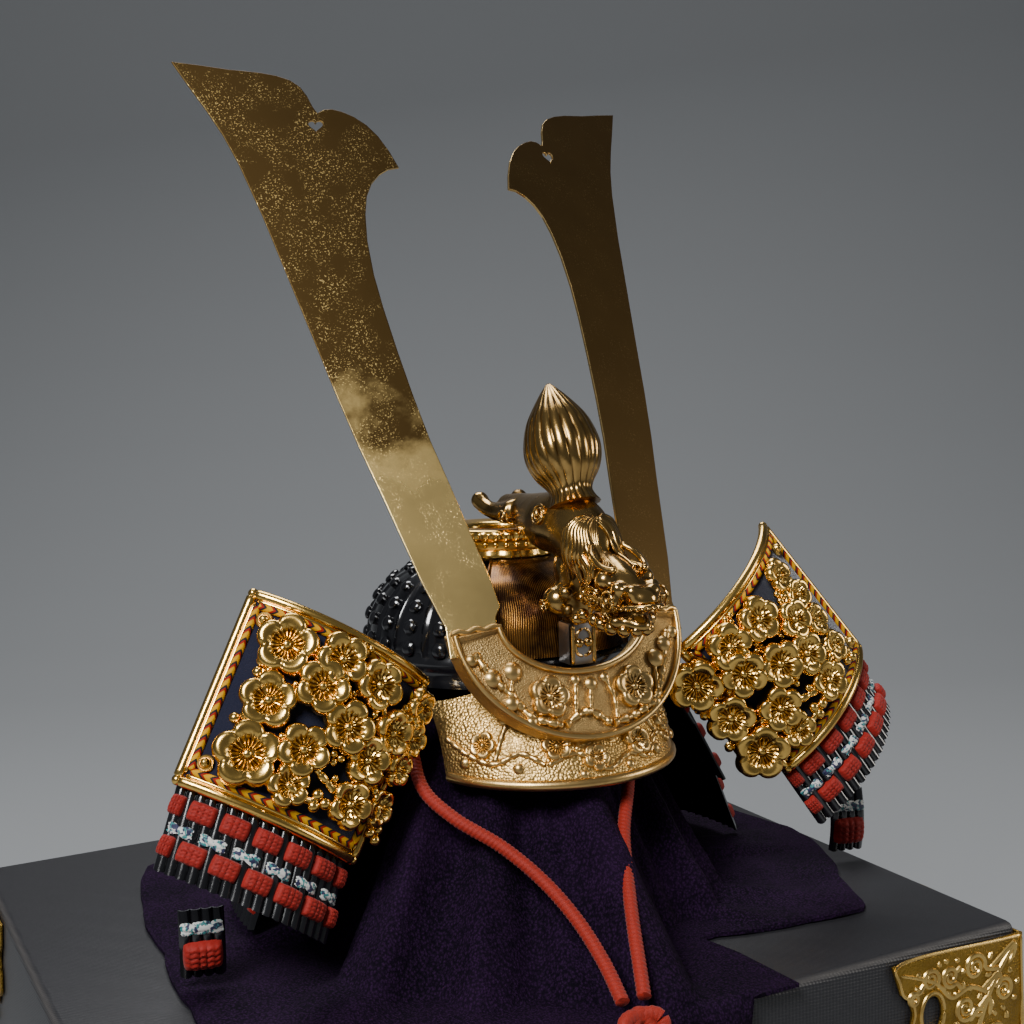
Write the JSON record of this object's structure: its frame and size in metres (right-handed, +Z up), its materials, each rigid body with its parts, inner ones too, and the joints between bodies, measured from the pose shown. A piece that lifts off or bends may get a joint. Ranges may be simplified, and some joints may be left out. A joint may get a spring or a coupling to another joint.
{
  "type": "kabuto helmet on armour chest",
  "caption": "Display samurai helmet with horns, dragon crest and turned-back wings, tied with a cord over a draped cloth on its lidded armour chest.",
  "frame": {"origin": "middle of the chest's underside, where it stands", "axes": "+Z up, helmet facing -Y, +X to the right as seen from the front"},
  "size_m": [0.2682, 0.2253, 0.4271],
  "materials": {
    "leatherette": "fine ribbed leatherette",
    "stamped_brass": "polished, stamped",
    "pale_gilt": "pale gilt casting",
    "cast_gold": "polished gilt casting",
    "horn_brass": "mottled gilt sheet",
    "black_lacquer": "gloss lacquer",
    "amber_lacquer": "gloss amber lacquer",
    "navy_felt": "matte felt",
    "purple_crepe": "matte crepe",
    "red_cord": "braided",
    "plain_wood": "plain sanded"
  },
  "bodies": {
    "root": {"chest_body": "leatherette", "chest_lid": "leatherette", "corner_plate_front_left": "stamped_brass", "corner_plate_front_right": "stamped_brass", "corner_plate_back_left": "stamped_brass", "corner_plate_back_right": "stamped_brass", "stand_post": "plain_wood", "drape_cloth": "purple_crepe", "helmet_bowl": "black_lacquer", "neck_lame_upper": "black_lacquer", "neck_lame_middle": "black_lacquer", "neck_lame_lower": "black_lacquer", "lame_tip_left": "black_lacquer", "lame_tip_right": "black_lacquer", "wing_flap_left": "black_lacquer", "wing_flap_right": "black_lacquer", "crown_ring": "cast_gold", "dragon_head": "cast_gold", "flame_jewel": "cast_gold", "wing_spray_left": "cast_gold", "wing_spray_right": "cast_gold", "front_plate": "amber_lacquer", "visor": "pale_gilt", "horn_holder": "pale_gilt", "crest_post": "pale_gilt", "horn_left": "horn_brass", "horn_right": "horn_brass", "wing_panel_left": "navy_felt", "wing_panel_right": "navy_felt", "wing_rim_left": "stamped_brass", "wing_rim_right": "stamped_brass", "wing_rivet_left_1": "stamped_brass", "wing_rivet_left_2": "stamped_brass", "wing_rivet_right_1": "stamped_brass", "wing_rivet_right_2": "stamped_brass", "chin_cord_left": "red_cord", "chin_cord_right": "red_cord", "chin_knot": "red_cord", "bow_loop_left": "red_cord", "bow_loop_right": "red_cord", "cord_tail_left": "red_cord", "cord_tail_right": "red_cord", "tail_knot_left": "red_cord", "tail_knot_right": "red_cord"}
  },
  "joints": []
}
